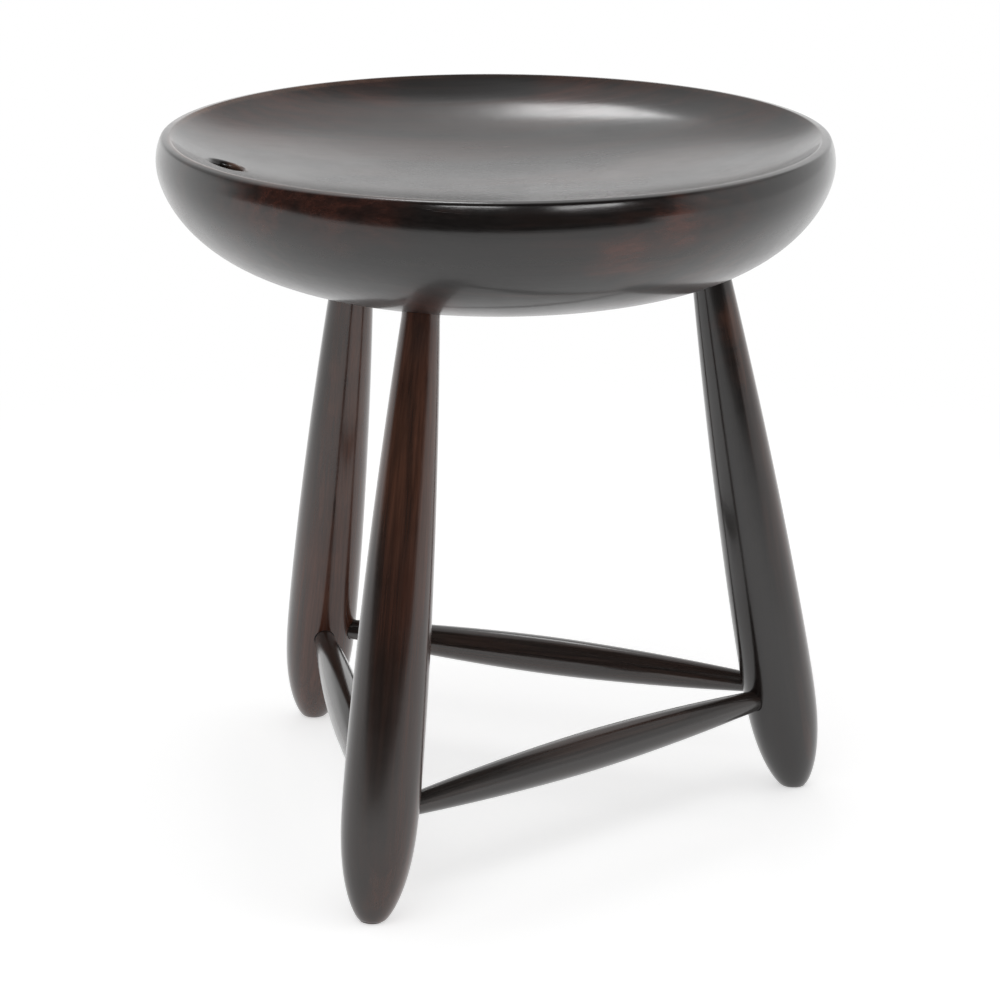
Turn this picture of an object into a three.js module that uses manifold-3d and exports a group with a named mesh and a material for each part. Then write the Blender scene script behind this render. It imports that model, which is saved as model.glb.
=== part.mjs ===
// A three-legged wooden stool: a thick turned seat with a dished top, a broad rounded rim and a
// round grip hole, three splayed turned legs tenoned into blind sockets under the seat, and
// three spindle stretchers tenoned into the legs. Every joint is a plain glued tenon.
//
// Millimetres, +Z up. The origin is on the floor under the middle of the seat. The right foot
// is towards +X, and the other two follow every 120 degrees, counter-clockwise from above.

import * as THREE from 'three';
import { mergeVertices } from 'three/addons/utils/BufferGeometryUtils.js';
import Module from 'manifold-3d';

const wasm = await Module();
wasm.setup();

// Driving dimensions of the seat
const stoolHeight = 450;
const seatDiameter = 424;
const seatThickness = 93.1;
const dishBowlDepth = 27.8; // depth of the dish without its steeper edge

// Radii of the four arcs of the rim, from the widest circle in to the dish
const rimSideRadius = 34; // the upright side
const rimShoulderRadius = 2.5; // the turn from the side to the top
const rimTopRadius = 36; // the nearly flat top
const rimEdgeRadius = 1.5; // the turn from the top into the dish

// Tilt of the rim's surface from level, where one arc meets the next
const rimSideTilt = THREE.MathUtils.degToRad(66);
const rimTopTilt = THREE.MathUtils.degToRad(12);
const rimEdgeTilt = THREE.MathUtils.degToRad(6);
const dishEdgeSlope = THREE.MathUtils.degToRad(38); // down into the dish

// Driving dimensions of the grip hole
const gripDiameter = 20;
const gripInset = 34; // from the edge of the dish in to the hole's axis
const gripTurn = THREE.MathUtils.degToRad(180);
const gripLip = 3; // width of the softened lip round each mouth

// Driving dimensions of the legs
const legFootInset = 7.1; // from the seat's widest circle in to the leg's axis, at the floor
const legSeatInset = 72.2; // the same, at the height of the seat's underside
const legSideLean = THREE.MathUtils.degToRad(1); // to the side, counter-clockwise from above
const legSwellDiameter = 47.6;
const legSwellHeight = 85.4;
const legFootDiameter = 15;
const legTenonDiameter = 23;
const legTenonRise = 42; // how far the tenon runs up into the seat

// Driving dimensions of the stretchers
const stretcherDiameter = 25.8;
const stretcherTenonDiameter = 13.6;
const tenonTipReach = 12.6; // from the leg's axis to the end of a stretcher's tenon
const frontRightHeight = 65.2;
const rearRightHeight = 70.4;
const frontRearHeight = 67.9;

// Fits and small allowances
const jointGap = 0.3; // between a tenon and its socket
const tenonChamfer = 1.5;
const cutOverrun = 6; // how far a cutter runs past the face that it opens
const toeOverrun = 4; // how far a leg is turned on below the floor, before it is cut level

// Smoothness, in steps
const seatSegments = 64;
const legSegments = 28;
const stretcherSegments = 20;
const holeSegments = 28;
const bowlSteps = 12;
const rimSteps = 3;
const dishSteps = 9;
const legFootSteps = 7;
const legTaperSteps = 7;
const stretcherSteps = 12;

// Shape of each curve, as plain exponents
const bowlSideShare = 3.92; // how long the bowl's side stays upright
const bowlBaseShare = 1.68; // how round the bowl turns under
const dishBowlShare = 2;
const dishEdgeShare = 12; // how late the dish turns up into its steeper edge
const legTaperShare = 1.7;
const legToeShare = 2.9;
const legToeRoundShare = 0.76;
const stretcherSwellShare = 1.8;

// Finish of the wood
const seatColor = 0x3a302d;
const legColor = 0x3b2a24;
const stretcherColor = 0x36292a;
const lacquerRoughness = 0.32;

// Heights and radii that follow from the sizes above
const seatRadius = seatDiameter / 2;
const undersideHeight = stoolHeight - seatThickness;
const rimArcs = [
  { radius: rimSideRadius, from: Math.PI / 2, to: rimSideTilt },
  { radius: rimShoulderRadius, from: rimSideTilt, to: rimTopTilt },
  { radius: rimTopRadius, from: rimTopTilt, to: rimEdgeTilt },
  { radius: rimEdgeRadius, from: rimEdgeTilt, to: 0 },
];
const rimInset = rimArcs.reduce(
  (sum, { radius, from, to }) => sum + radius * (Math.sin(from) - Math.sin(to)),
  0,
); // from the widest circle in to the crest of the rim
const widestDrop = rimArcs.reduce(
  (sum, { radius, from, to }) => sum + radius * (Math.cos(to) - Math.cos(from)),
  0,
); // from the crest of the rim down to the widest circle
const widestHeight = stoolHeight - widestDrop;
const crestRadius = seatRadius - rimInset;
const dishEdgeRadius = crestRadius - rimEdgeRadius * Math.sin(dishEdgeSlope);
const dishEdgeHeight = stoolHeight - rimEdgeRadius * (1 - Math.cos(dishEdgeSlope));
const dishEdgeRise = Math.tan(dishEdgeSlope) * dishEdgeRadius - dishBowlShare * dishBowlDepth;
const dishEdgeDepth = dishEdgeRise / dishEdgeShare; // meets the rim without a kink
const gripRadius = gripDiameter / 2;
const gripReach = dishEdgeRadius - gripInset;
const legFootReach = seatRadius - legFootInset;
const legSeatReach = seatRadius - legSeatInset;
const legLeanIn = (legFootReach - legSeatReach) / undersideHeight;
const legLean = new THREE.Vector3(-legLeanIn, Math.tan(legSideLean), 1);
const legTenonRadius = legTenonDiameter / 2;
const stretcherTenonRadius = stretcherTenonDiameter / 2;

const legNames = ['leg_right', 'leg_rear', 'leg_front'];
const legStep = (2 * Math.PI) / legNames.length;

const stretchers = [
  { name: 'stretcher_right_rear', from: 0, to: 1, height: rearRightHeight },
  { name: 'stretcher_rear_front', from: 1, to: 2, height: frontRearHeight },
  { name: 'stretcher_front_right', from: 2, to: 0, height: frontRightHeight },
];

// Height of the bowl's outside at a radius from the seat's axis
function bowlHeight(radius) {
  const side = 1 - (radius / seatRadius) ** bowlSideShare;
  return widestHeight - side ** (1 / bowlBaseShare) * (widestHeight - undersideHeight);
}

// Height of the dish at a radius from the seat's axis
function dishHeight(radius) {
  const reach = radius / dishEdgeRadius;
  const bowl = dishBowlDepth * (1 - reach ** dishBowlShare);
  const edge = dishEdgeDepth * (1 - reach ** dishEdgeShare);
  return dishEdgeHeight - bowl - edge;
}

// Radius of a leg at a height above the floor
function legRadius(height) {
  const swell = legSwellDiameter / 2;
  if (height < legSwellHeight) {
    const down = Math.min(1 - height / legSwellHeight, 1);
    const foot = legFootDiameter / 2;
    return foot + (swell - foot) * (1 - down ** legToeShare) ** legToeRoundShare;
  }
  const up = Math.min((height - legSwellHeight) / (legTaperEnd - legSwellHeight), 1);
  return swell - (swell - legTenonRadius) * up ** legTaperShare;
}

// The taper ends where the leg's inner side meets the bowl
const legTaperEnd = bowlHeight(legSeatReach - legTenonRadius);

// A closed solid turned round +Z from [radius, height] points
function turned(profile, segments) {
  const points = profile.map(([radius, height]) => new THREE.Vector2(radius, height));
  return new THREE.LatheGeometry(points, segments).rotateX(Math.PI / 2);
}

// A solid of a closed geometry, placed by a matrix
function solidOf(geometry, matrix = new THREE.Matrix4()) {
  const bare = geometry.clone().applyMatrix4(matrix);
  bare.deleteAttribute('normal');
  bare.deleteAttribute('uv');
  const merged = mergeVertices(bare);
  return new wasm.Manifold(
    new wasm.Mesh({
      numProp: 3,
      vertProperties: new Float32Array(merged.attributes.position.array),
      triVerts: new Uint32Array(merged.index.array),
    }),
  );
}

function geometryOf(solid) {
  const { numProp, vertProperties, triVerts } = solid.getMesh();
  const positions = new Float32Array((vertProperties.length / numProp) * 3);
  for (let i = 0; i < positions.length / 3; i += 1) {
    positions.set(vertProperties.subarray(i * numProp, i * numProp + 3), i * 3);
  }
  const geometry = new THREE.BufferGeometry();
  geometry.setAttribute('position', new THREE.BufferAttribute(positions, 3));
  geometry.setIndex(new THREE.BufferAttribute(new Uint32Array(triVerts), 1));
  geometry.computeVertexNormals();
  return geometry;
}

// Even steps from 0 to 1, both ends included
function steps(count) {
  return Array.from({ length: count + 1 }, (_, i) => i / count);
}

// A matrix that turns +Z to a direction and moves zero to a point
function alongMatrix(direction, point) {
  const up = new THREE.Vector3(0, 0, 1);
  const turn = new THREE.Quaternion().setFromUnitVectors(up, direction.clone().normalize());
  return new THREE.Matrix4().makeRotationFromQuaternion(turn).setPosition(point);
}

// From a leg's own frame, with its foot at zero and its axis along +Z, to the stool's frame
function legMatrix(index) {
  const lean = alongMatrix(legLean, new THREE.Vector3(legFootReach, 0, 0));
  return lean.premultiply(new THREE.Matrix4().makeRotationZ(index * legStep));
}

// Length along a leg's axis from the floor up to a height
function legLength(height) {
  return height * legLean.length();
}

// The point on a leg's axis at a height above the floor
function legAxisPoint(index, height) {
  return new THREE.Vector3(0, 0, legLength(height)).applyMatrix4(legMatrix(index));
}

// From a stretcher's own frame, with its middle at zero and its axis along +Z
function stretcherMatrix({ from, to, height }) {
  const start = legAxisPoint(from, height);
  const end = legAxisPoint(to, height);
  return alongMatrix(end.clone().sub(start), start.add(end).divideScalar(2));
}

function stretcherSpan({ from, to, height }) {
  return legAxisPoint(from, height).distanceTo(legAxisPoint(to, height));
}

function seatProfile() {
  const bowl = steps(bowlSteps).map((step) => {
    const radius = seatRadius * Math.sin((step * Math.PI) / 2);
    return [radius, bowlHeight(radius)];
  });
  const edge = { radius: rimEdgeRadius, from: 0, to: -dishEdgeSlope };
  const rim = [];
  let [startRadius, startHeight] = [seatRadius, widestHeight];
  [...rimArcs, edge].forEach(({ radius, from, to }) => {
    steps(rimSteps).slice(1).forEach((step) => {
      const tilt = from + (to - from) * step;
      rim.push([
        startRadius + radius * (Math.sin(tilt) - Math.sin(from)),
        startHeight + radius * (Math.cos(tilt) - Math.cos(from)),
      ]);
    });
    [startRadius, startHeight] = rim[rim.length - 1];
  });
  const dish = steps(dishSteps).slice(1).map((step) => {
    const radius = step < 1 ? dishEdgeRadius * Math.cos((step * Math.PI) / 2) : 0;
    return [radius, dishHeight(radius)];
  });
  return [...bowl, ...rim, ...dish];
}

// The grip hole is a straight upright bore
function gripBore() {
  const bottom = bowlHeight(gripReach) - gripDiameter;
  const top = stoolHeight + cutOverrun;
  const profile = [[0, bottom], [gripRadius, bottom], [gripRadius, top], [0, top]];
  const reach = new THREE.Matrix4().makeTranslation(gripReach, 0, 0);
  return solidOf(turned(profile, holeSegments), reach);
}

// The softened lip of a mouth of the grip hole: a shallow cone, square to the face that the
// bore opens. outward is 1 at the dish, where the face looks up, and -1 under the bowl.
function gripLipCone(heightAt, outward) {
  const rise = heightAt(gripReach + gripLip) - heightAt(gripReach - gripLip);
  const slope = Math.atan2(rise, 2 * gripLip);
  const mouthRadius = gripRadius + gripLip + cutOverrun;
  const profile = [
    [0, -gripLip],
    [gripRadius, -gripLip],
    [mouthRadius, cutOverrun],
    [0, cutOverrun],
  ];
  const cone = turned(profile, holeSegments).scale(1 / Math.cos(slope), 1, 1);
  if (outward < 0) cone.rotateX(Math.PI);
  cone.rotateY(-slope).translate(gripReach, 0, heightAt(gripReach));
  return solidOf(cone);
}

function gripCutter() {
  const cutter = gripBore().add(gripLipCone(dishHeight, 1)).add(gripLipCone(bowlHeight, -1));
  return solidOf(geometryOf(cutter), new THREE.Matrix4().makeRotationZ(gripTurn));
}

function seatGeometry() {
  let seat = solidOf(turned(seatProfile(), seatSegments));
  seat = seat.subtract(gripCutter());
  const start = legLength(legTaperEnd) - legTenonRise;
  const end = legTenonTop() + jointGap;
  const radius = legTenonRadius + jointGap;
  const socket = turned([[0, start], [radius, start], [radius, end], [0, end]], legSegments);
  legNames.forEach((_, index) => {
    seat = seat.subtract(solidOf(socket, legMatrix(index)));
  });
  return geometryOf(seat);
}

// Length along the leg's axis from the floor to the end of its tenon
function legTenonTop() {
  return legLength(legTaperEnd) + legTenonRise;
}

function legProfile() {
  const top = legTenonTop();
  const toe = steps(legFootSteps).map((step) => {
    const height = legSwellHeight * (1 - Math.cos((step * Math.PI) / 2));
    return [legRadius(height), legLength(height)];
  });
  const taper = steps(legTaperSteps).slice(1).map((step) => {
    const height = legSwellHeight + (legTaperEnd - legSwellHeight) * step;
    return [legRadius(height), legLength(height)];
  });
  return [
    [0, -toeOverrun],
    [legFootDiameter / 2, -toeOverrun],
    ...toe,
    ...taper,
    [legTenonRadius, top - tenonChamfer],
    [legTenonRadius - tenonChamfer, top],
    [0, top],
  ];
}

function legGeometry(index) {
  const toLeg = legMatrix(index).invert();
  const depth = legSwellDiameter;
  const floor = new THREE.CylinderGeometry(seatDiameter, seatDiameter, depth, legSegments)
    .rotateX(Math.PI / 2)
    .translate(0, 0, -depth / 2);
  let leg = solidOf(turned(legProfile(), legSegments)).subtract(solidOf(floor, toLeg));
  const radius = stretcherTenonRadius + jointGap;
  stretchers.filter(({ from, to }) => from === index || to === index).forEach((stretcher) => {
    const half = stretcherSpan(stretcher) / 2;
    const side = stretcher.to === index ? 1 : -1;
    const tip = half - tenonTipReach + jointGap;
    const mouth = half - legSwellDiameter;
    const bore = turned([[0, mouth], [radius, mouth], [radius, tip], [0, tip]], holeSegments);
    if (side < 0) bore.rotateX(Math.PI);
    leg = leg.subtract(solidOf(bore, toLeg.clone().multiply(stretcherMatrix(stretcher))));
  });
  return geometryOf(leg);
}

function stretcherGeometry(stretcher) {
  const half = stretcherSpan(stretcher) / 2;
  const tip = half - tenonTipReach;
  const shoulder = half - legRadius(stretcher.height) - jointGap;
  const swell = stretcherDiameter / 2 - stretcherTenonRadius;
  const body = steps(stretcherSteps).map((step) => {
    const offset = Math.abs(2 * step - 1);
    return [
      stretcherTenonRadius + swell * (1 - offset ** stretcherSwellShare),
      shoulder * (2 * step - 1),
    ];
  });
  return turned(
    [
      [0, -tip],
      [stretcherTenonRadius - tenonChamfer, -tip],
      [stretcherTenonRadius, -tip + tenonChamfer],
      ...body,
      [stretcherTenonRadius, tip - tenonChamfer],
      [stretcherTenonRadius - tenonChamfer, tip],
      [0, tip],
    ],
    stretcherSegments,
  );
}

function lacqueredWood(color) {
  return new THREE.MeshStandardMaterial({ color, roughness: lacquerRoughness, metalness: 0 });
}

function piece(name, geometry, material, matrix) {
  const mesh = new THREE.Mesh(geometry, material);
  mesh.name = name;
  matrix.decompose(mesh.position, mesh.quaternion, mesh.scale);
  return mesh;
}

const stool = new THREE.Group();
stool.add(piece('seat', seatGeometry(), lacqueredWood(seatColor), new THREE.Matrix4()));

const legs = new THREE.Group();
legNames.forEach((name, index) => {
  legs.add(piece(name, legGeometry(index), lacqueredWood(legColor), legMatrix(index)));
});

const rails = new THREE.Group();
stretchers.forEach((stretcher) => {
  const { name } = stretcher;
  const wood = lacqueredWood(stretcherColor);
  rails.add(piece(name, stretcherGeometry(stretcher), wood, stretcherMatrix(stretcher)));
});

stool.add(legs, rails);

export default stool;
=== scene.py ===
"""A three-legged stool of dark stained wood under satin lacquer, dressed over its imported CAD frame.

Each CAD node is replaced by a finer turned piece of the same shape, so that reflections run smoothly over
the wood. Shapes are given in millimetres and are scaled to metres as each mesh is made. Materials, lights
and the camera are placed in metres. +Z is up, and the right foot is towards +X.
"""

import math

import bmesh
import bpy
import numpy as np
from mathutils import Matrix, Vector


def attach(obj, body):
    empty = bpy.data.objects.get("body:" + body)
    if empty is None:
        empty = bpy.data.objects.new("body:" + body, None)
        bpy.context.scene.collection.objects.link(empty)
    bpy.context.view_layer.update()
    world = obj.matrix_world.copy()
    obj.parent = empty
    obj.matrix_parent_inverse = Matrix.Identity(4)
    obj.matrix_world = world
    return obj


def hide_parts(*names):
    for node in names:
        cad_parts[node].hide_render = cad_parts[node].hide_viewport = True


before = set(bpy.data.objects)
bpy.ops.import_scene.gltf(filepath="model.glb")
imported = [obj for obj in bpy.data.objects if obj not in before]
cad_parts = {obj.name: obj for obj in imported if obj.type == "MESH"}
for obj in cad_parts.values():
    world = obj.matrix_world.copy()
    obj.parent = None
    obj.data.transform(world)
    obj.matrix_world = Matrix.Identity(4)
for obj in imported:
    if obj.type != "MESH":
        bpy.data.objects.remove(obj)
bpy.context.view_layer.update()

METRES = 0.001
QUARTER = math.pi / 2

# Seat
STOOL_HEIGHT = 450.0
SEAT_RADIUS = 212.0
SEAT_THICKNESS = 93.1
DISH_EDGE_SLOPE = math.radians(38)
DISH_BOWL_DEPTH = 27.8
DISH_EDGE_POWER = 12
BOWL_SIDE_POWER = 3.92
BOWL_BASE_POWER = 1.68
# Arcs of the rim, from the widest circle in to the dish: radius, then the tilts of the surface at both ends
RIM_ARCS = (
    (34.0, math.radians(90), math.radians(66)),
    (2.5, math.radians(66), math.radians(12)),
    (36.0, math.radians(12), math.radians(6)),
    (1.5, math.radians(6), -DISH_EDGE_SLOPE),
)
UNDERSIDE_HEIGHT = STOOL_HEIGHT - SEAT_THICKNESS
RIM_EDGE_ROUND = RIM_ARCS[3][0]
# The crest is the highest circle of the rim, where the last arc is level
CREST_RADIUS = SEAT_RADIUS - sum(
    size * (math.sin(start) - math.sin(max(end, 0))) for size, start, end in RIM_ARCS
)
WIDEST_HEIGHT = STOOL_HEIGHT - sum(
    size * (math.cos(max(end, 0)) - math.cos(start)) for size, start, end in RIM_ARCS
)
DISH_EDGE_RADIUS = CREST_RADIUS - RIM_EDGE_ROUND * math.sin(DISH_EDGE_SLOPE)
DISH_EDGE_HEIGHT = STOOL_HEIGHT - RIM_EDGE_ROUND * (1 - math.cos(DISH_EDGE_SLOPE))
# The steep edge of the dish is as deep as gives it the slope above where it meets the rim
DISH_EDGE_DEPTH = (math.tan(DISH_EDGE_SLOPE) * DISH_EDGE_RADIUS - 2 * DISH_BOWL_DEPTH) / DISH_EDGE_POWER

# Grip hole
GRIP_RADIUS = 10.0
GRIP_INSET = 34.0
GRIP_REACH = DISH_EDGE_RADIUS - GRIP_INSET
GRIP_LIP = 3.0

# Legs
LEG_FOOT_REACH = SEAT_RADIUS - 7.1
LEG_SEAT_REACH = SEAT_RADIUS - 72.2
LEG_SIDE_LEAN = math.radians(1)
LEG_SWELL_RADIUS = 23.8
LEG_SWELL_HEIGHT = 85.4
LEG_FOOT_RADIUS = 7.5
LEG_TENON_RADIUS = 11.5
LEG_TENON_RISE = 42.0
LEG_TAPER_POWER = 1.7
LEG_TOE_POWER = 2.9
LEG_TOE_ROUND_POWER = 0.76
# A round cap under the toe is pressed flat on the floor, from the toe zone down, with a soft edge
TOE_CAP = 2.6
TOE_ZONE = 12.0
FOOT_EDGE = 0.9
LEG_INWARD_LEAN = (LEG_FOOT_REACH - LEG_SEAT_REACH) / UNDERSIDE_HEIGHT
LEG_LEAN = Vector((-LEG_INWARD_LEAN, math.tan(LEG_SIDE_LEAN), 1.0))

# Stretchers
STRETCHER_RADIUS = 12.9
STRETCHER_TENON_RADIUS = 6.8
STRETCHER_SWELL_POWER = 1.8
TENON_TIP_REACH = 12.6
JOINT_GAP = 0.3
TENON_CHAMFER = 1.5

LEGS = ("leg_right", "leg_rear", "leg_front")
# Name, the legs at its start and its end, height of its axis
STRETCHERS = (
    ("stretcher_right_rear", 0, 1, 70.4),
    ("stretcher_rear_front", 1, 2, 67.9),
    ("stretcher_front_right", 2, 0, 65.2),
)

# Fineness of the meshes
SEAT_SEGMENTS = 240
SEAT_INNER_RINGS = 26
SEAT_SIDE_RINGS = 110
SEAT_FINE_GAIN = 4.0
CREST_REACH = 2.0
SHOULDER_REACH = 1.6
SHOULDER_INSET = 0.8
SWEEP_POINTS = 4000
ARC_POINTS = 300
CURVE_STEP = 0.1
LEG_SEGMENTS = 96
LEG_RINGS = 150
LEG_CROWDING = 1.6
LEG_TAPER_KNOTS = 12
TOE_KNOT_HEIGHTS = (0.0, 0.7, 1.8, 4.0, 8.0, 13.0, 19.0, 27.0, 37.0, 50.0, 66.0)
TOE_CAP_RINGS = 11
STRETCHER_SEGMENTS = 72
STRETCHER_RINGS = 110
STRETCHER_KNOTS = 17
SHARP_ANGLE = math.radians(32)

# Softening of the seat's outline: wide round its widest circle and slight elsewhere
EDGE_BLUR = 0.35
WIDEST_BLUR = 3.0
WIDEST_BLEND = 5.0

# Round each end of the grip hole a block of the rings is left out and filled with loops
PATCH_HALF_TURN = 6  # segments on each side of the grip hole
PATCH_INNER = 145.0
PATCH_OUTER = 193.0
PATCH_STEP = 4.0
PATCH_LOOPS = (0.22, 0.44, 0.64, 0.82, 1.0)
LIP_DEGREES = (12, 25, 38, 51, 64, 77, 90)
BORE_LOOPS = (0.2, 0.4, 0.6, 0.8)


# Curves


def bowl_height(radius):
    side = np.maximum(1 - (np.asarray(radius, float) / SEAT_RADIUS) ** BOWL_SIDE_POWER, 0)
    return WIDEST_HEIGHT - side ** (1 / BOWL_BASE_POWER) * (WIDEST_HEIGHT - UNDERSIDE_HEIGHT)


def dish_height(radius):
    reach = np.asarray(radius, float) / DISH_EDGE_RADIUS
    bowl = DISH_BOWL_DEPTH * (1 - reach**2)
    return DISH_EDGE_HEIGHT - bowl - DISH_EDGE_DEPTH * (1 - reach**DISH_EDGE_POWER)


LEG_TAPER_END = float(bowl_height(LEG_SEAT_REACH - LEG_TENON_RADIUS))


def leg_radius(height):
    if height < LEG_SWELL_HEIGHT:
        down = min(1 - height / LEG_SWELL_HEIGHT, 1)
        spread = (1 - down**LEG_TOE_POWER) ** LEG_TOE_ROUND_POWER
        return LEG_FOOT_RADIUS + (LEG_SWELL_RADIUS - LEG_FOOT_RADIUS) * spread
    up = min((height - LEG_SWELL_HEIGHT) / (LEG_TAPER_END - LEG_SWELL_HEIGHT), 1)
    return LEG_SWELL_RADIUS - (LEG_SWELL_RADIUS - LEG_TENON_RADIUS) * up**LEG_TAPER_POWER


def bell(distance, reach):
    return np.exp(-0.5 * (distance / reach) ** 2)


def run_along(points):
    """How far along the line through the points each of them lies."""
    return np.r_[0.0, np.cumsum(np.hypot(*np.diff(points, axis=0).T))]


def resampled(points, run, wanted):
    return np.column_stack([np.interp(wanted, run, points[:, i]) for i in (0, 1)])


def spline(points, count, crowding=1.0):
    """Points on a smooth curve through the given ones, evenly spread or crowded towards its start."""
    points = np.asarray(points, float)
    run = run_along(points)
    gap = np.diff(run)
    last = len(points) - 1
    system = np.zeros((last + 1, last + 1))
    target = np.zeros((last + 1, 2))
    system[0, 0] = system[last, last] = 1
    for i in range(1, last):
        system[i, i - 1 : i + 2] = gap[i - 1], 2 * (gap[i - 1] + gap[i]), gap[i]
        ahead = (points[i + 1] - points[i]) / gap[i]
        behind = (points[i] - points[i - 1]) / gap[i - 1]
        target[i] = 6 * (ahead - behind)
    bend = np.linalg.solve(system, target)
    along = run[-1] * np.linspace(0, 1, count) ** crowding
    k = np.clip(np.searchsorted(run, along, side="right") - 1, 0, last - 1)
    step = gap[k][:, None]
    a = (run[k + 1] - along)[:, None] / step
    b = 1 - a
    curve = (a**3 - a) * bend[k] + (b**3 - b) * bend[k + 1]
    return a * points[k] + b * points[k + 1] + curve * step**2 / 6


# Meshes


def mesh_object(name, verts, faces):
    mesh = bpy.data.meshes.new(name)
    mesh.from_pydata([tuple(v) for v in np.asarray(verts, float) * METRES], [], faces)
    mesh.update()
    made = bpy.data.objects.new(name, mesh)
    bpy.context.scene.collection.objects.link(made)
    return made


def ring_faces(first, second, count):
    return [(first + i, first + (i + 1) % count, second + (i + 1) % count, second + i) for i in range(count)]


def scaled(matrix):
    """The same turn and place, with the place in metres."""
    made = matrix.copy()
    made.translation = matrix.translation * METRES
    return made


def lathe(name, profile, segments, matrix):
    """A closed solid turned round +Z from (radius, height) points that start and end on the axis."""
    turn = np.linspace(0, 2 * np.pi, segments, endpoint=False)
    verts = [(0, 0, profile[0][1])]
    for radius, height in profile[1:-1]:
        verts += [(radius * math.cos(a), radius * math.sin(a), height) for a in turn]
    verts.append((0, 0, profile[-1][1]))
    faces = [(0, 1 + (i + 1) % segments, 1 + i) for i in range(segments)]
    for ring in range(len(profile) - 3):
        faces += ring_faces(1 + ring * segments, 1 + (ring + 1) * segments, segments)
    top = len(verts) - 1
    start = top - segments
    faces += [(start + i, start + (i + 1) % segments, top) for i in range(segments)]
    made = mesh_object(name, verts, faces)
    made.matrix_world = scaled(matrix)
    return made


def rod(name, radius, low, high, segments, matrix):
    return lathe(name, [(0, low), (radius, low), (radius, high), (0, high)], segments, matrix)


def cut(made, cutters):
    """Cuts solids out of a piece and removes them."""
    for cutter in cutters:
        modifier = made.modifiers.new("cut", "BOOLEAN")
        modifier.operation = "DIFFERENCE"
        modifier.solver = "EXACT"
        modifier.object = cutter
    bpy.context.view_layer.update()
    graph = bpy.context.evaluated_depsgraph_get()
    mesh = bpy.data.meshes.new_from_object(made.evaluated_get(graph))
    mesh.name = made.name
    made.modifiers.clear()
    old = made.data
    made.data = mesh
    bpy.data.meshes.remove(old)
    for cutter in cutters:
        data = cutter.data
        bpy.data.objects.remove(cutter)
        bpy.data.meshes.remove(data)


def smooth(made):
    made.data.polygons.foreach_set("use_smooth", [True] * len(made.data.polygons))
    made.data.set_sharp_from_angle(angle=SHARP_ANGLE)
    made.data.update()


# Places of the legs and stretchers


def along_matrix(direction, point):
    turn = Vector((0, 0, 1)).rotation_difference(Vector(direction).normalized())
    return Matrix.Translation(point) @ turn.to_matrix().to_4x4()


def leg_matrix(index):
    turn = Matrix.Rotation(index * 2 * math.pi / 3, 4, "Z")
    return turn @ along_matrix(LEG_LEAN, (LEG_FOOT_REACH, 0, 0))


def leg_length(height):
    return height * LEG_LEAN.length


def leg_axis_point(index, height):
    return leg_matrix(index) @ Vector((0, 0, leg_length(height)))


def stretcher_frame(start_leg, end_leg, height):
    """The matrix and the half length, from leg axis to leg axis, of a stretcher."""
    start = leg_axis_point(start_leg, height)
    end = leg_axis_point(end_leg, height)
    return along_matrix(end - start, (start + end) / 2), (end - start).length / 2


# Making the seat


def blurred(path, spread):
    """The path softened along its length. Past both ends it goes on as its own mirror image."""
    reach = int(4 * spread / CURVE_STEP)
    mirror = np.array([-1.0, 1.0])
    padded = np.vstack([path[reach:0:-1] * mirror, path, path[-2 : -reach - 2 : -1] * mirror])
    weight = bell(np.arange(-reach, reach + 1) * CURVE_STEP, spread)
    weight /= weight.sum()
    return np.column_stack([np.convolve(padded[:, i], weight, mode="valid") for i in (0, 1)])


def seat_curve():
    """The outline of the seat, from the middle of its underside round the rim to the middle of its dish."""
    sweep = np.linspace(0, QUARTER, SWEEP_POINTS)
    outward = SEAT_RADIUS * np.sin(sweep)
    path = [np.column_stack([outward, bowl_height(outward)])]
    radius, height = SEAT_RADIUS, WIDEST_HEIGHT
    for size, start, end in RIM_ARCS:
        tilt = np.linspace(start, end, ARC_POINTS)[1:]
        across = radius - size * (math.sin(start) - np.sin(tilt))
        upward = height + size * (np.cos(tilt) - math.cos(start))
        path.append(np.column_stack([across, upward]))
        radius, height = across[-1], upward[-1]
    inward = DISH_EDGE_RADIUS * np.cos(sweep)[1:]
    inward[-1] = 0
    path.append(np.column_stack([inward, dish_height(inward)]))
    path = np.vstack(path)
    run = run_along(path)
    even = np.linspace(0, run[-1], int(run[-1] / CURVE_STEP))
    path = resampled(path, run, even)
    widest = even[np.argmax(path[:, 0])]
    near = bell(even - widest, WIDEST_BLEND)[:, None]
    return blurred(path, WIDEST_BLUR) * near + blurred(path, EDGE_BLUR) * (1 - near)


def side_rings(curve):
    """The rings outside the blocks of the grip hole, closest together on the crest and the shoulder."""
    side = curve[curve[:, 0] > PATCH_OUTER]
    shoulder_arc, _, shoulder_tilt = RIM_ARCS[0]
    shoulder = SEAT_RADIUS - shoulder_arc * (1 - math.sin(shoulder_tilt))
    near_crest = bell(side[:, 0] - CREST_RADIUS, CREST_REACH)
    near_shoulder = bell(side[:, 0] - shoulder + SHOULDER_INSET, SHOULDER_REACH)
    fine = 1 + SEAT_FINE_GAIN * np.maximum(near_crest, near_shoulder) * (side[:, 1] > WIDEST_HEIGHT)
    run = np.r_[0.0, np.cumsum(np.diff(run_along(side)) * fine[1:])]
    return resampled(side, run, np.linspace(0, run[-1], SEAT_SIDE_RINGS + 2)[1:-1])


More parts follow.
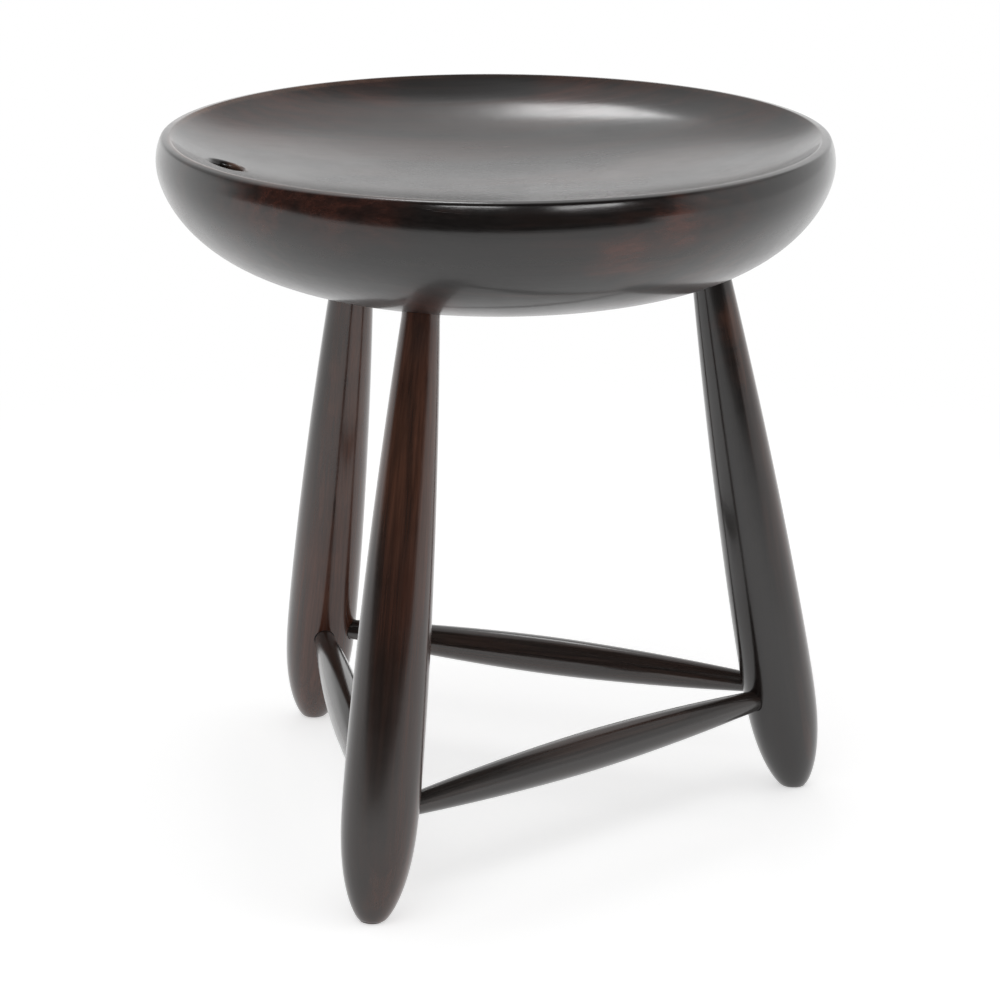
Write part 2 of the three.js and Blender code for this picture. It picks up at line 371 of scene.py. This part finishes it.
def seat_mesh():
    """Rings all round the seat, with a patch of loops round each end of the grip hole and down its bore."""
    curve = seat_curve()
    widest = int(np.argmax(curve[:, 0]))
    below, above = curve[: widest + 1], curve[widest:][::-1]

    def bottom_at(radius):
        return np.interp(radius, below[:, 0], below[:, 1])

    def top_at(radius):
        return np.interp(radius, above[:, 0], above[:, 1])

    inner = list(np.linspace(0, PATCH_INNER, SEAT_INNER_RINGS + 1)[1:])
    block = list(np.arange(PATCH_INNER, PATCH_OUTER + PATCH_STEP / 2, PATCH_STEP))[1:]
    flat = inner + block
    rings = [(r, float(bottom_at(r))) for r in flat]
    rings += [tuple(p) for p in side_rings(curve)]
    rings += [(r, float(top_at(r))) for r in flat[::-1]]

    count = SEAT_SEGMENTS
    turn = np.linspace(0, 2 * np.pi, count, endpoint=False)
    verts = [(0, 0, float(bottom_at(0)))]
    for radius, height in rings:
        verts += [(radius * math.cos(a), radius * math.sin(a), height) for a in turn]
    verts.append((0, 0, float(top_at(0))))
    top_centre = len(verts) - 1

    def vertex(ring, column):
        return 1 + ring * count + column % count

    # The grip hole lies opposite the right leg, in the middle of a block of cells that is left out
    middle = count // 2
    first_column, last_column = middle - PATCH_HALF_TURN, middle + PATCH_HALF_TURN
    bottom_rings = (len(inner) - 1, len(flat) - 1)
    top_rings = (len(rings) - len(flat), len(rings) - len(inner))
    last = len(rings) - 1
    faces = [(0, vertex(0, i + 1), vertex(0, i)) for i in range(count)]
    for ring in range(last):
        in_block = bottom_rings[0] <= ring < bottom_rings[1] or top_rings[0] <= ring < top_rings[1]
        for column in range(count):
            if in_block and first_column <= column < last_column:
                continue
            faces.append((
                vertex(ring, column),
                vertex(ring, column + 1),
                vertex(ring + 1, column + 1),
                vertex(ring + 1, column),
            ))
    faces += [(vertex(last, i), vertex(last, i + 1), top_centre) for i in range(count)]

    def ring_range(start, end):
        return range(start, end, 1 if end > start else -1)

    def border(low_ring, high_ring):
        """The vertices round the block, from one inner corner, first along the inner ring."""
        path = [(low_ring, c) for c in range(first_column, last_column)]
        path += [(r, last_column) for r in ring_range(low_ring, high_ring)]
        path += [(high_ring, c) for c in range(last_column, first_column, -1)]
        path += [(r, first_column) for r in ring_range(high_ring, low_ring)]
        return [vertex(r, c) for r, c in path]

    centre = np.array([-GRIP_REACH, 0.0])
    below_border = border(bottom_rings[0], bottom_rings[1])
    above_border = border(top_rings[1], top_rings[0])
    outline = np.array([verts[v][:2] for v in above_border])
    offset = outline - centre
    towards = offset / np.hypot(*offset.T)[:, None]
    lip_radius = GRIP_RADIUS + GRIP_LIP

    def loops(height_at, sign):
        """Loops of points from the block's border in to the bore, over the rounded lip."""
        made = []
        for part in PATCH_LOOPS:
            plan = outline * (1 - part) + (centre + towards * lip_radius) * part
            made.append(np.column_stack([plan, height_at(np.hypot(*plan.T))]))
        for degrees in LIP_DEGREES:
            angle = math.radians(degrees)
            plan = centre + towards * (GRIP_RADIUS + GRIP_LIP * (1 - math.sin(angle)))
            drop = sign * GRIP_LIP * (1 - math.cos(angle))
            made.append(np.column_stack([plan, height_at(np.hypot(*plan.T)) - drop]))
        return made

    down = loops(top_at, 1)
    up = loops(bottom_at, -1)
    bore = [down[-1] + (up[-1] - down[-1]) * part for part in BORE_LOOPS]
    chain = [above_border]
    for loop in down + bore + up[::-1]:
        start = len(verts)
        verts += [tuple(p) for p in loop]
        chain.append(list(range(start, start + len(loop))))
    chain.append(below_border)
    size = len(above_border)
    for one, two in zip(chain, chain[1:]):
        faces += [(one[i], one[(i + 1) % size], two[(i + 1) % size], two[i]) for i in range(size)]
    return verts, faces


def make_seat():
    verts, faces = seat_mesh()
    seat = mesh_object("seat_turned", verts, faces)
    # The vertices inside the left-out blocks carry no face
    cleaned = bmesh.new()
    cleaned.from_mesh(seat.data)
    bmesh.ops.delete(cleaned, geom=[v for v in cleaned.verts if not v.link_faces], context="VERTS")
    bmesh.ops.recalc_face_normals(cleaned, faces=cleaned.faces)
    cleaned.to_mesh(seat.data)
    cleaned.free()
    start = leg_length(LEG_TAPER_END) - LEG_TENON_RISE
    end = leg_length(LEG_TAPER_END) + LEG_TENON_RISE + JOINT_GAP
    radius = LEG_TENON_RADIUS + JOINT_GAP
    cut(seat, [rod("socket", radius, start, end, LEG_SEGMENTS, leg_matrix(i)) for i in range(3)])
    smooth(seat)
    return seat


# Making the legs


def leg_profile():
    taper = np.linspace(LEG_SWELL_HEIGHT, LEG_TAPER_END, LEG_TAPER_KNOTS)
    knots = [(leg_radius(h), leg_length(h)) for h in (*TOE_KNOT_HEIGHTS, *taper)]
    body = [tuple(p) for p in spline(knots, LEG_RINGS, LEG_CROWDING)]
    turn = np.linspace(0, QUARTER, TOE_CAP_RINGS + 1)[:-1]
    cap = [(LEG_FOOT_RADIUS * math.sin(a), -TOE_CAP * math.cos(a)) for a in turn]
    top = leg_length(LEG_TAPER_END) + LEG_TENON_RISE
    tenon = [
        (LEG_TENON_RADIUS, top - LEG_TENON_RISE / 2),
        (LEG_TENON_RADIUS, top - TENON_CHAMFER),
        (LEG_TENON_RADIUS - TENON_CHAMFER, top),
        (0, top),
    ]
    return cap + body + tenon


def press_toe(leg, placed):
    """Presses the round cap under the toe flat on the floor, which leaves a soft edge round the foot."""
    back = placed.inverted()
    for vertex in leg.data.vertices:
        point = placed @ vertex.co
        if point.z < TOE_ZONE * METRES:
            height = point.z / METRES
            point.z = 0.5 * (height + math.hypot(height, FOOT_EDGE)) * METRES
            vertex.co = back @ point
    leg.data.update()


def make_leg(index):
    matrix = leg_matrix(index)
    leg = lathe(LEGS[index] + "_turned", leg_profile(), LEG_SEGMENTS, matrix)
    press_toe(leg, scaled(matrix))
    radius = STRETCHER_TENON_RADIUS + JOINT_GAP
    mortises = []
    for _, start_leg, end_leg, height in STRETCHERS:
        if index not in (start_leg, end_leg):
            continue
        across, half = stretcher_frame(start_leg, end_leg, height)
        tip = half - TENON_TIP_REACH + JOINT_GAP
        mouth = half - 2 * LEG_SWELL_RADIUS
        low, high = (mouth, tip) if index == end_leg else (-tip, -mouth)
        mortises.append(rod("mortise", radius, low, high, STRETCHER_SEGMENTS, across))
    cut(leg, mortises)
    smooth(leg)
    return leg


# Making the stretchers


def make_stretcher(name, start_leg, end_leg, height):
    matrix, half = stretcher_frame(start_leg, end_leg, height)
    tip = half - TENON_TIP_REACH
    shoulder = half - leg_radius(height) - JOINT_GAP
    swell = STRETCHER_RADIUS - STRETCHER_TENON_RADIUS
    knots = []
    for part in np.linspace(-1, 1, STRETCHER_KNOTS):
        bulge = swell * (1 - abs(part) ** STRETCHER_SWELL_POWER)
        knots.append((STRETCHER_TENON_RADIUS + bulge, shoulder * part))
    body = [tuple(p) for p in spline(knots, STRETCHER_RINGS)]
    narrow = STRETCHER_TENON_RADIUS - TENON_CHAMFER
    low = [(0, -tip), (narrow, -tip), (STRETCHER_TENON_RADIUS, -tip + TENON_CHAMFER)]
    high = [(STRETCHER_TENON_RADIUS, tip - TENON_CHAMFER), (narrow, tip), (0, tip)]
    made = lathe(name + "_turned", low + body + high, STRETCHER_SEGMENTS, matrix)
    smooth(made)
    return made


# Nodes


def color(red, green, blue):
    return (red, green, blue, 1.0)


class Nodes:
    """Short calls for adding and joining the nodes of one material or world."""

    def __init__(self, tree):
        self.tree = tree
        tree.nodes.clear()

    def add(self, kind, inputs=None, **settings):
        node = self.tree.nodes.new("ShaderNode" + kind)
        for key, value in settings.items():
            setattr(node, key, value)
        for key, value in (inputs or {}).items():
            if isinstance(value, bpy.types.NodeSocket):
                self.tree.links.new(value, node.inputs[key])
            else:
                node.inputs[key].default_value = value
        return node

    def math(self, operation, one, two=0.0):
        return self.add("Math", {0: one, 1: two}, operation=operation).outputs[0]

    def product(self, value, *factors):
        for factor in factors:
            value = self.math("MULTIPLY", value, factor)
        return value

    def vectors(self, operation, one, two=(0.0, 0.0, 0.0), output="Vector"):
        return self.add("VectorMath", {0: one, 1: two}, operation=operation).outputs[output]

    def between(self, value, low, high, to_low=0.0, to_high=1.0, smoothed=True):
        """The value taken from one range to another and held at its ends."""
        kind = "SMOOTHSTEP" if smoothed else "LINEAR"
        inputs = {"Value": value, "From Min": low, "From Max": high, "To Min": to_low, "To Max": to_high}
        return self.add("MapRange", inputs, interpolation_type=kind).outputs["Result"]

    def mix(self, factor, one, two, blend="MIX"):
        # Sockets 6 and 7 are the two colours of this node, and output 2 is their mix
        inputs = {0: factor, 6: one, 7: two}
        return self.add("Mix", inputs, data_type="RGBA", blend_type=blend).outputs[2]

    def grey(self, value):
        return self.add("CombineColor", {"Red": value, "Green": value, "Blue": value}).outputs[0]

    def split(self, vector):
        return self.add("SeparateXYZ", {0: vector}).outputs

    def stretched(self, vector, scale):
        return self.add("Mapping", {"Vector": vector, "Scale": scale}).outputs[0]

    def in_photo_axes(self, vector):
        """The vector turned about Z to the photograph's own axes: X to the right and Y to the back."""
        inputs = {"Vector": vector, "Angle": VIEW_TURN}
        return self.add("VectorRotate", inputs, rotation_type="Z_AXIS").outputs[0]

    def noise(self, vector, scale, detail=2.0, roughness=0.5, output="Fac"):
        inputs = {"Vector": vector, "Scale": scale, "Detail": detail, "Roughness": roughness}
        return self.add("TexNoise", inputs).outputs[output]

    def swayed(self, vector, noise, reach):
        """The vector moved to and fro by a coloured noise, by up to half the reach."""
        centred = self.vectors("SUBTRACT", noise, (0.5, 0.5, 0.5))
        return self.vectors("ADD", vector, self.vectors("MULTIPLY", centred, reach))


def new_material(name):
    material = bpy.data.materials.new(name)
    material.use_nodes = True
    return material, Nodes(material.node_tree)


# Wood

# Patterns in the wood, in waves per metre across and along the grain
TRUNK_BENDS = (9.0, 9.0, 1.6)
FIBRES = (620.0, 620.0, 14.0)
STREAKS = (150.0, 150.0, 5.0)
CLOUDS = (17.0, 17.0, 4.0)
GROWTH_RINGS = 52.0
TRUNK_SWAY = (0.030, 0.030, 0.0)
BLOT_WAVES = 26.0
BLOT_SWAY = (0.05, 0.05, 0.03)
LATE_WOOD = color(0.35, 0.33, 0.32)  # what the stain is multiplied by
LATE_WOOD_SHARE = 0.32
# Lighter wood where the stain is rubbed off; on the upper lip of the grip hole it is also painted light
RUBBED_AND_LIT_WOOD = color(0.150, 0.080, 0.055)
RUBBED_EDGE = (0.0008, 0.0034)  # from the edge of the dish, where the rubbing starts to fade and ends
RUBBED_AND_LIT_LIP = (0.0110, 0.0150)  # the same, from the axis of the grip hole
HAZE_WAVES = 24.0
LACQUER_ROUGHNESS = (0.15, 0.24)
FIBRE_ROUGHNESS = 0.04
DULL_ROUGHNESS = 0.16
PORE_DEPTH = 0.0004


def grain(nodes, place, grain_turn, offset):
    """The late wood of the rings, the fibres, the streaks and the clouds, each from 0 to 1."""
    mapping = {"Vector": place, "Location": offset, "Rotation": grain_turn}
    turned = nodes.add("Mapping", mapping).outputs[0]
    # Slow waves in the trunk bend the rings and the fibres
    bends = nodes.noise(nodes.stretched(turned, TRUNK_BENDS), 1.0, 2.0, output="Color")
    wood = nodes.swayed(turned, bends, TRUNK_SWAY)
    rings = nodes.add(
        "TexWave",
        {"Vector": wood, "Scale": GROWTH_RINGS, "Distortion": 1.2, "Detail": 2.0, "Detail Scale": 1.5},
        wave_type="RINGS",
        rings_direction="Z",
        wave_profile="SAW",
    ).outputs["Fac"]
    late = nodes.between(rings, 0.62, 0.98)
    fibre = nodes.noise(nodes.stretched(wood, FIBRES), 1.0, 3.0, 0.6)
    streak = nodes.noise(nodes.stretched(wood, STREAKS), 1.0, 3.0, 0.55)
    cloud = nodes.noise(nodes.stretched(wood, CLOUDS), 1.0, 3.0, 0.5)
    return late, fibre, streak, cloud


def thin_stain_and_lit_places(nodes, place, stain_and_lit_blots, streak):
    """How thin the stain is, and on the lit side of the right and rear legs how strong the painted light is.
    Each blot is (x, y, z, radius, strength), and its edge is ragged.
    """
    sway = nodes.noise(place, BLOT_WAVES, 3.0, 0.6, output="Color")
    ragged = nodes.swayed(place, sway, BLOT_SWAY)
    thin = 0.0
    for x, y, z, radius, strength in stain_and_lit_blots:
        away = nodes.vectors("DISTANCE", ragged, (x, y, z), "Value")
        thin = nodes.math("MAXIMUM", thin, nodes.between(away, radius * 0.25, radius, strength, 0.0))
    return nodes.product(thin, nodes.between(streak, 0.3, 0.65, 0.45, 1.0))


def rubbed_and_lit_places(nodes, place):
    """How far hands have rubbed the stain off the edge of the dish and the lip of the grip hole. On the lip
    the lighter wood is also painted light.
    """
    axes = nodes.split(place)
    out = nodes.math("MULTIPLY", axes["X"], axes["X"])
    out = nodes.math("SQRT", nodes.math("ADD", out, nodes.math("MULTIPLY", axes["Y"], axes["Y"])))
    aside = nodes.math("ABSOLUTE", nodes.math("SUBTRACT", out, DISH_EDGE_RADIUS * METRES))
    crest = STOOL_HEIGHT * METRES
    patches = nodes.noise(place, 14.0, 3.0, 0.6)
    edge = nodes.product(
        nodes.between(aside, *RUBBED_EDGE, 1.0, 0.0),
        nodes.between(axes["Z"], crest - 0.004, crest - 0.002),
        nodes.between(patches, 0.34, 0.62, 0.25, 1.0),
        # Hands lift the stool on the side of the grip hole
        nodes.between(axes["X"], -0.16, 0.02, 1.0, 0.2),
    )
    # The upper lip of the grip hole is lighter on its side towards the middle of the seat: rubbed wood, and
    # painted light where the lip catches the light
    hole = (-GRIP_REACH * METRES, 0.0, 0.0)
    plan = nodes.vectors("MULTIPLY", place, (1.0, 1.0, 0.0))
    lip = nodes.product(
        nodes.between(nodes.vectors("DISTANCE", plan, hole, "Value"), *RUBBED_AND_LIT_LIP, 0.8, 0.0),
        nodes.between(axes["Z"], 0.425, 0.432),
        nodes.between(axes["X"], hole[0] - 0.001, hole[0] + 0.006),
    )
    return nodes.math("MAXIMUM", edge, lip)


def lacquered_wood(
    name,
    dark,
    warm,
    grain_turn,
    offset,
    warm_range,
    side=None,
    stain_and_lit_blots=(),
    thin_stain_and_lit_tone=None,
    rubbed_and_lit=False,
    dull=None,
):
    """Dark stained wood under a satin lacquer. The grain runs along the turned Z of the object.

    The turn and the offset place the piece in its trunk. The warm range gives the values of the grain
    between which the dark wood turns warm, and towards a side (x, y) of the object the colour turns warmer,
    which is painted light on the side that the light falls on. Blots are places where the stain is thin and
    the red-brown wood shows through; on the right and rear legs they lie on the lit side and are painted
    light too. Rubbed wood has lost its stain where hands touch the seat, and on the upper lip of the grip
    hole the lighter wood is also painted light. A dull pair (low, high) gives the heights between which the
    lacquer turns from dull to polished. Places are in metres.
    """
    material, nodes = new_material(name)
    place = nodes.add("TexCoord").outputs["Object"]
    late, fibre, streak, cloud = grain(nodes, place, grain_turn, offset)

    # Stain, and painted light on the lit side of the legs
    warmth_and_lit_side = nodes.math("ADD", nodes.product(cloud, 0.7), nodes.product(streak, 0.3))
    # Towards the given side the colour turns warmer: painted light, where the light falls on that side of
    # the leg
    if side:
        warmth_and_lit_side = nodes.math("ADD", warmth_and_lit_side, nodes.vectors("DOT_PRODUCT", place, (*side, 0.0), "Value"))
    tone = nodes.mix(nodes.between(warmth_and_lit_side, *warm_range), dark, warm)
    tone = nodes.mix(nodes.product(late, LATE_WOOD_SHARE), tone, LATE_WOOD, "MULTIPLY")
    if stain_and_lit_blots:
        tone = nodes.mix(thin_stain_and_lit_places(nodes, place, stain_and_lit_blots, streak), tone, thin_stain_and_lit_tone)
    if rubbed_and_lit:
        tone = nodes.mix(rubbed_and_lit_places(nodes, place), tone, RUBBED_AND_LIT_WOOD)
    lines = nodes.product(
        nodes.between(fibre, 0.3, 0.72, 0.78, 1.16),
        nodes.between(streak, 0.3, 0.7, 0.84, 1.14),
    )
    tone = nodes.mix(1.0, tone, nodes.grey(lines), "MULTIPLY")

    # Open pores and the last brush marks barely show through the lacquer
    haze = nodes.noise(place, HAZE_WAVES, 4.0, 0.6)
    rough = nodes.between(haze, 0.3, 0.7, *LACQUER_ROUGHNESS, smoothed=False)
    fibrous = nodes.between(fibre, 0.35, 0.75, 0.0, FIBRE_ROUGHNESS, smoothed=False)
    rough = nodes.math("ADD", rough, fibrous)
    if dull:
        height = nodes.split(place)["Z"]
        rough = nodes.math("ADD", rough, nodes.between(height, *dull, DULL_ROUGHNESS, 0.0))
    pores = nodes.math("ADD", nodes.product(fibre, 0.6), nodes.product(late, 0.25))
    pores = nodes.math("ADD", pores, nodes.product(haze, 3.0))
    bump = nodes.add("Bump", {"Strength": 0.12, "Distance": PORE_DEPTH, "Height": pores}).outputs[0]
    shader = nodes.add(
        "BsdfPrincipled",
        {
            "Base Color": tone,
            "Roughness": rough,
            "IOR": 1.5,
            "Specular IOR Level": 0.5,
            "Coat Weight": 0.5,
            "Coat Roughness": 0.12,
            "Normal": bump,
        },
    )
    nodes.add("OutputMaterial", {"Surface": shader.outputs[0]})
    return material


SEAT_BLOTS = (
    (0.081, -0.197, 0.433, 0.026, 1.00),
    (0.043, -0.204, 0.418, 0.026, 0.90),
    (-0.120, -0.172, 0.444, 0.042, 0.55),
    (-0.150, -0.140, 0.444, 0.036, 0.55),
    (-0.096, -0.190, 0.441, 0.032, 0.45),
    (-0.112, 0.152, 0.442, 0.050, 0.45),
    (-0.060, 0.178, 0.440, 0.040, 0.50),
    (-0.150, 0.100, 0.438, 0.045, 0.40),
    (0.075, 0.175, 0.440, 0.032, 0.45),
    (-0.062, -0.160, 0.381, 0.030, 0.60),
    (0.135, 0.165, 0.428, 0.034, 0.50),
    (0.200, 0.060, 0.435, 0.030, 0.45),
)
# On the right and rear legs the blots lie along the side that the light falls on: painted light, laid as
# thin stain
RIGHT_LEG_LIT_SIDE_BLOTS = ((0.016, -0.006, 0.295, 0.027, 0.75), (0.016, -0.006, 0.330, 0.028, 0.85))
REAR_LEG_LIT_SIDE_STRIPE_HEIGHTS = (0.10, 0.13, 0.16, 0.19, 0.22, 0.25, 0.28, 0.31)
REAR_LEG_LIT_SIDE_STRIPE = tuple((-0.018, 0.001, height, 0.023, 0.75) for height in REAR_LEG_LIT_SIDE_STRIPE_HEIGHTS)
FRONT_LEG_BLOTS = ((0.0, 0.0, 0.29, 0.085, 0.75), (0.0, 0.0, 0.35, 0.060, 0.45))
seat_wood = lacquered_wood(
    "seat_wood",
    dark=color(0.0110, 0.0086, 0.0078),
    warm=color(0.036, 0.0140, 0.0092),
    grain_turn=(0, QUARTER, 0),
    offset=(0, 0.13, 0.31),
    warm_range=(0.44, 0.64),
    stain_and_lit_blots=SEAT_BLOTS,
    thin_stain_and_lit_tone=color(0.070, 0.019, 0.011),
    rubbed_and_lit=True,
    dull=(0.390, 0.432),
)
# Name, dark stain, turn and place in the trunk, warm range, side painted warmer where the light falls, blots
LEG_WOODS = (
    (
        "leg_right_wood",
        color(0.013, 0.0092, 0.0080),
        0.4,
        (0.11, 0.04, 0.7),
        (0.50, 0.74),
        (5.0, -0.8),
        RIGHT_LEG_LIT_SIDE_BLOTS,
    ),
    (
        "leg_rear_wood",
        color(0.021, 0.0110, 0.0076),
        2.1,
        (0.08, 0.09, 1.9),
        (0.40, 0.62),
        (-9.0, -3.6),
        REAR_LEG_LIT_SIDE_STRIPE,
    ),
    (
        "leg_front_wood",
        color(0.019, 0.0100, 0.0070),
        3.3,
        (0.10, 0.07, 3.1),
        (0.36, 0.62),
        (-1.5, 3.7),
        FRONT_LEG_BLOTS,
    ),
)
leg_woods = [
    lacquered_wood(
        name,
        dark,
        warm=color(0.075, 0.0265, 0.0155),
        grain_turn=(0, 0, turn),
        offset=offset,
        warm_range=warm_range,
        side=side,
        stain_and_lit_blots=stain_and_lit_blots,
        thin_stain_and_lit_tone=color(0.095, 0.036, 0.020),
    )
    for name, dark, turn, offset, warm_range, side, stain_and_lit_blots in LEG_WOODS
]
stretcher_woods = [
    lacquered_wood(
        name,
        dark=color(0.025, 0.0195, 0.0172),
        warm=color(0.050, 0.0280, 0.0215),
        grain_turn=(0, 0, turn),
        offset=offset,
        warm_range=(0.42, 0.66),
    )
    for name, turn, offset in (
        ("stretcher_right_rear_wood", 0.9, (0.06, 0.03, 4.3)),
        ("stretcher_rear_front_wood", 1.7, (0.07, 0.05, 5.9)),
        ("stretcher_front_right_wood", 2.9, (0.05, 0.06, 7.7)),
    )
]


# The pieces in their places


def dress(made, node, material):
    made.data.materials.clear()
    made.data.materials.append(material)
    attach(made, "root")
    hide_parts(node)


dress(make_seat(), "seat", seat_wood)
for index, node in enumerate(LEGS):
    dress(make_leg(index), node, leg_woods[index])
for wood, (node, start_leg, end_leg, height) in zip(stretcher_woods, STRETCHERS):
    dress(make_stretcher(node, start_leg, end_leg, height), node, wood)


# Camera, at the photograph's viewing angle

VIEW_TURN = math.radians(8.748)  # from the photograph's depth axis to the model's +Y
CAMERA_DISTANCE = 2.06426
CAMERA_HEIGHT = 0.85340
CAMERA_PITCH = math.radians(-17.3346)
CAMERA_YAW = math.radians(0.0954)
CAMERA_ROLL = math.radians(0.2222)
SENSOR = 36.0
FOCAL_SHARE = 3.34914  # focal length over the width of the picture
VIEW_END = 50.0


def make_camera():
    heading = CAMERA_YAW + VIEW_TURN
    forward = Vector((
        math.sin(heading) * math.cos(CAMERA_PITCH),
        math.cos(heading) * math.cos(CAMERA_PITCH),
        math.sin(CAMERA_PITCH),
    ))
    right = Vector((math.cos(heading), -math.sin(heading), 0))
    up = right.cross(forward)
    side = right * math.cos(CAMERA_ROLL) + up * math.sin(CAMERA_ROLL)
    top = up * math.cos(CAMERA_ROLL) - right * math.sin(CAMERA_ROLL)
    data = bpy.data.cameras.new("camera")
    data.sensor_width = SENSOR
    data.lens = SENSOR * FOCAL_SHARE
    data.clip_end = VIEW_END
    made = bpy.data.objects.new("camera", data)
    place = Vector((
        -math.sin(VIEW_TURN) * CAMERA_DISTANCE,
        -math.cos(VIEW_TURN) * CAMERA_DISTANCE,
        CAMERA_HEIGHT,
    ))
    turn = Matrix((side, top, -forward)).transposed().to_4x4()
    made.matrix_world = Matrix.Translation(place) @ turn
    bpy.context.scene.collection.objects.link(made)
    bpy.context.scene.camera = made


make_camera()


# Floor, light and surroundings

FLOOR_HALF = 7000.0
FLOOR_COLOR = color(0.80, 0.80, 0.80)
LIT_FLOOR = (0.45, 1.1)  # from the stool's middle, where the lit floor starts to turn white and ends
WHITE = color(1, 1, 1)
NEAR_GLOW = 0.52  # added to the lit floor near the stool, for the camera and in reflections
DARK_END = 0.05  # what is left of the white floor in the dark room in front
ROOM_LIGHT = color(0.62, 0.62, 0.62)  # falls on the wood's own colour from all round
DARK_ROOM = 0.04  # the least that a reflection meets


def make_floor():
    """A pale floor that keeps the stool's shadow near it and is white further off."""
    corners = ((-1, -1), (1, -1), (1, 1), (-1, 1))
    verts = [(x * FLOOR_HALF, y * FLOOR_HALF, 0) for x, y in corners]
    floor = mesh_object("studio_floor", verts, [(0, 1, 2, 3)])
    material, nodes = new_material("studio_floor")
    path = nodes.add("LightPath").outputs
    seen = nodes.math("MAXIMUM", path["Is Camera Ray"], path["Is Glossy Ray"])
    seen = nodes.math("MAXIMUM", seen, path["Is Transmission Ray"])
    diffuse = nodes.add("BsdfDiffuse", {"Color": FLOOR_COLOR}).outputs[0]
    glow = nodes.add("Emission", {"Color": WHITE, "Strength": nodes.product(seen, NEAR_GLOW)}).outputs[0]
    lit = nodes.add("AddShader", {0: diffuse, 1: glow}).outputs[0]
    place = nodes.add("TexCoord").outputs["Object"]
    away = nodes.vectors("LENGTH", place, output="Value")
    axes = nodes.split(nodes.in_photo_axes(place))
    front = axes["Y"]
    # Far off the floor is white, but in reflections it ends where the dark room in front begins
    dark = nodes.product(
        nodes.between(front, -1.9, -1.3, 1.0, 0.0),
        path["Is Glossy Ray"],
        nodes.between(nodes.math("ADD", axes["X"], nodes.product(front, 1.2)), -0.3, 0.6, 1.0, 0.0),
    )
    strength = nodes.between(dark, 0.0, 1.0, 1.0, DARK_END, smoothed=False)
    white = nodes.add("Emission", {"Color": WHITE, "Strength": strength}).outputs[0]
    far = nodes.product(nodes.between(away, *LIT_FLOOR), seen)
    shader = nodes.add("MixShader", {0: far, 1: lit, 2: white})
    nodes.add("OutputMaterial", {"Surface": shader.outputs[0]})
    floor.data.materials.append(material)


def make_world():
    """White all round for the camera. Reflections show a white sweep behind and a dark room in front."""
    world = bpy.data.worlds.new("studio")
    bpy.context.scene.world = world
    world.use_nodes = True
    nodes = Nodes(world.node_tree)
    axes = nodes.split(nodes.in_photo_axes(nodes.add("TexCoord").outputs["Generated"]))
    across, up = axes["X"], axes["Z"]
    # On the right the light part of the room reaches further to the front
    depth = nodes.math("ADD", axes["Y"], nodes.between(across, 0.60, 0.90, 0.0, 0.55))
    # On the right the ceiling is dimmer overhead and brighter again at the very top
    ceiling = nodes.product(
        nodes.between(up, 0.54, 0.70, 0.53, 0.66),
        nodes.between(depth, -0.10, 0.45),
        nodes.between(up, 0.72, 0.86, 1.0, nodes.between(across, -0.15, 0.10, 0.95, 0.44)),
        nodes.between(up, 0.93, 0.99, 1.0, nodes.between(across, -0.15, 0.10, 1.0, 2.0)),
    )
    # The sweep behind fades out with height, lower down on the left
    lift = nodes.math("ADD", up, nodes.between(across, -0.25, 0.05, 0.20, 0.0))
    sweep = nodes.product(
        nodes.between(lift, 0.34, 0.64, 1.0, 0.0),
        nodes.between(depth, -0.10, 0.30),
        nodes.between(across, 0.1, 0.7, 1.0, 0.82),
    )
    studio = nodes.math("MAXIMUM", sweep, nodes.math("MAXIMUM", ceiling, DARK_ROOM))
    path = nodes.add("LightPath").outputs
    reflected = nodes.math("MAXIMUM", path["Is Glossy Ray"], path["Is Transmission Ray"])
    level = nodes.mix(reflected, ROOM_LIGHT, nodes.grey(studio))
    level = nodes.mix(path["Is Camera Ray"], level, WHITE)
    background = nodes.add("Background", {"Color": level, "Strength": 1.0})
    nodes.add("OutputWorld", {"Surface": background.outputs[0]})


def softbox(name, place, aim, width, height, radiance, roll=0.0, glossy=True, diffuse=True):
    """An area light at a place, in metres from the stool's middle: to the right, to the back and up.

    A roll turns it about its aim. Without glossy it leaves no reflection, and without diffuse it is seen in
    reflections alone.
    """
    data = bpy.data.lights.new(name, "AREA")
    data.shape = "RECTANGLE"
    data.size = width
    data.size_y = height
    data.energy = radiance * math.pi * width * height
    made = bpy.data.objects.new(name, data)
    turn = Matrix.Rotation(-VIEW_TURN, 4, "Z")
    place, aim = turn @ Vector(place), turn @ Vector(aim)
    facing = (place - aim).to_track_quat("Z", "Y").to_matrix().to_4x4()
    made.matrix_world = Matrix.Translation(place) @ facing @ Matrix.Rotation(roll, 4, "Z")
    made.visible_camera = False
    made.visible_glossy = glossy
    made.visible_diffuse = diffuse
    bpy.context.scene.collection.objects.link(made)


make_floor()
make_world()
# Place and aim of each light, its width and height, and its radiance
softbox("softbox_back", (-0.34, 4.45, 4.30), (0.05, 0.15, 0.43), 0.56, 1.02, 4.3, roll=math.radians(-6))
softbox("rim_light_left", (-0.42, -2.9, 2.50), (0, -0.2, 0.43), 1.1, 0.40, 8.0, diffuse=False)
softbox("rim_light_right", (1.75, -2.8, 2.25), (0, -0.2, 0.43), 1.3, 0.40, 8.5, diffuse=False)
softbox("key", (-0.75, -1.3, 2.5), (0, 0, 0.3), 1.6, 1.6, 1.1, glossy=False)
softbox("fill", (1.7, -0.3, 2.3), (0, 0, 0.3), 1.4, 1.4, 0.7, glossy=False)

bpy.context.scene.view_settings.view_transform = "Standard"
